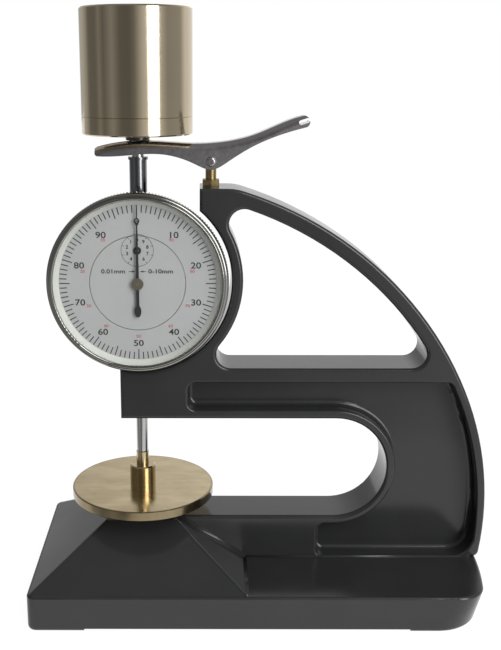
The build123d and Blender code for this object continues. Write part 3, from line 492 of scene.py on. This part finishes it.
class FacePrint:
    """Gathers flat printed shapes into one thin mesh."""

    def __init__(self):
        self.bm = bmesh.new()

    def face(self, corners):
        """Flat face that looks out of the dial."""
        face = self.bm.faces.new(corners)
        face.normal_update()
        if face.normal.y > 0:
            face.normal_flip()

    def polygon(self, points):
        self.face([self.bm.verts.new(face_point(u, v)) for u, v in points])

    def bar(self, angle, inner, outer, width, centre=(0, 0)):
        """Radial bar, with the angle clockwise from the top in degrees."""
        a = radians(angle)
        points = []
        for radius, side in ((inner, -1), (outer, -1), (outer, 1), (inner, 1)):
            u, v = on_circle(angle, radius, centre)
            points.append((u + cos(a) * side * width / 2, v - sin(a) * side * width / 2))
        self.polygon(points)

    def ring(self, centre, radius, width, sides):
        for i in range(sides):
            start, end = 360 * i / sides, 360 * (i + 1) / sides
            corners = ((start, radius), (end, radius), (end, radius + width), (start, radius + width))
            self.polygon([on_circle(angle, r, centre) for angle, r in corners])

    def text(self, words, u, v, size, squeeze=1.0, weight=0.0):
        """Words centred on a place, widened by squeeze and thickened by weight."""
        curve = bpy.data.curves.new("words", "FONT")
        curve.body = words
        curve.size = size
        curve.align_x = "CENTER"
        curve.align_y = "CENTER"
        curve.resolution_u = 4
        curve.offset = weight
        holder = bpy.data.objects.new("words", curve)
        bpy.context.scene.collection.objects.link(holder)
        evaluated = holder.evaluated_get(bpy.context.evaluated_depsgraph_get())
        mesh = bpy.data.meshes.new_from_object(evaluated)
        made = [self.bm.verts.new(face_point(u + p.co.x * squeeze, v + p.co.y)) for p in mesh.vertices]
        for polygon in mesh.polygons:
            self.face([made[i] for i in polygon.vertices])
        bpy.data.objects.remove(holder)
        bpy.data.curves.remove(curve)
        bpy.data.meshes.remove(mesh)

    def finish(self, name, material, body):
        """Gives the print its thickness and makes it a piece."""
        extruded = bmesh.ops.extrude_face_region(self.bm, geom=self.bm.faces[:])
        shift = [v for v in extruded["geom"] if isinstance(v, bmesh.types.BMVert)]
        bmesh.ops.translate(self.bm, verts=shift, vec=(0, -PRINT_THICK, 0))
        bmesh.ops.recalc_face_normals(self.bm, faces=self.bm.faces[:])
        mesh = bpy.data.meshes.new(name)
        self.bm.to_mesh(mesh)
        self.bm.free()
        return add_piece(name, mesh, material, body)


TICKS = 100
TICK_OUTER = 25.8
TICK_LENGTH = 2.4
FIFTH_TICK_LENGTH = 3.4
TICK_WIDTH = 0.33
ticks = FacePrint()
for i in range(TICKS):
    length = TICK_LENGTH if i % 5 else FIFTH_TICK_LENGTH
    ticks.bar(i * 360 / TICKS, TICK_OUTER - length, TICK_OUTER, TICK_WIDTH)
ticks.finish("scale_ticks", "print_black", "bezel_unit")

# Numbers of the scale, and the small red ones that count backwards beside them. The red ones
# are shifted inward and up from the black one, by how many tens the place is from zero.
NUMERAL_RADIUS = 20.1
NUMERAL_SIZE = 2.9
NUMERAL_DROP = 0.3
ZERO_SIZE = 2.3
ZERO_DROP = 0.2
RED_SIZE = 1.45
RED_SHIFTS = {1: (0.6, -1.6), 2: (1.1, -1.9), 3: (2.8, -1.1), 4: (1.1, 2.1), 5: (0.0, 2.4)}
numerals = FacePrint()
reverse_numerals = FacePrint()
for i in range(1, 10):
    u, v = on_circle(i * 36, NUMERAL_RADIUS)
    v -= NUMERAL_DROP
    numerals.text(str(i * 10), u, v, NUMERAL_SIZE, squeeze=1.2, weight=0.045)
    inward, rise = RED_SHIFTS[min(i, 10 - i)]
    inward = -inward if i < 5 else inward
    reverse_numerals.text(str(100 - i * 10), u + inward, v + rise, RED_SIZE, squeeze=1.1, weight=0.025)
numerals.text("0", 0, NUMERAL_RADIUS - ZERO_DROP, ZERO_SIZE, squeeze=1.1, weight=0.03)
numerals.finish("scale_numerals", "print_black", "bezel_unit")
reverse_numerals.finish("reverse_numerals", "print_red", "bezel_unit")

# Middle of the dial: the small scale of whole millimetres, and the graduation and range
COUNTER_CENTRE = (0, 11.0)
COUNTER_RADIUS = 5.2
COUNTER_LINE = 0.14
COUNTER_TICK_LENGTH = 0.7
COUNTER_DIGIT_RADIUS = 3.5
COUNTER_DIGIT_SIZE = 1.6
LABEL_UP = 4.0
LABEL_SIZE = 1.95
LABELS = {"0.01mm": -8.0, "0-10mm": 7.6}
ARROW_TIP = 0.7
ARROW_NECK = 1.9
ARROW_TAIL = 2.9
ARROW_HALF_LINE = 0.1
ARROW_HALF_HEAD = 0.35
centre_print = FacePrint()
centre_print.ring(COUNTER_CENTRE, COUNTER_RADIUS, COUNTER_LINE, sides=64)
for i in range(10):
    inner = COUNTER_RADIUS - COUNTER_TICK_LENGTH
    centre_print.bar(i * 36, inner, COUNTER_RADIUS, COUNTER_LINE, COUNTER_CENTRE)
    u, v = on_circle(-i * 36, COUNTER_DIGIT_RADIUS, COUNTER_CENTRE)
    centre_print.text(str(i), u, v, COUNTER_DIGIT_SIZE, weight=0.05)
for words, u in LABELS.items():
    centre_print.text(words, u, LABEL_UP, LABEL_SIZE, squeeze=1.25, weight=0.045)
for side in (-1, 1):
    tail, neck, tip = side * ARROW_TAIL, side * ARROW_NECK, side * ARROW_TIP
    low, high = LABEL_UP - ARROW_HALF_LINE, LABEL_UP + ARROW_HALF_LINE
    centre_print.polygon([(tail, low), (tail, high), (neck, high), (neck, low)])
    low, high = LABEL_UP - ARROW_HALF_HEAD, LABEL_UP + ARROW_HALF_HEAD
    centre_print.polygon([(neck, low), (neck, high), (tip, LABEL_UP)])
centre_print.finish("centre_print", "print_black", "stand")
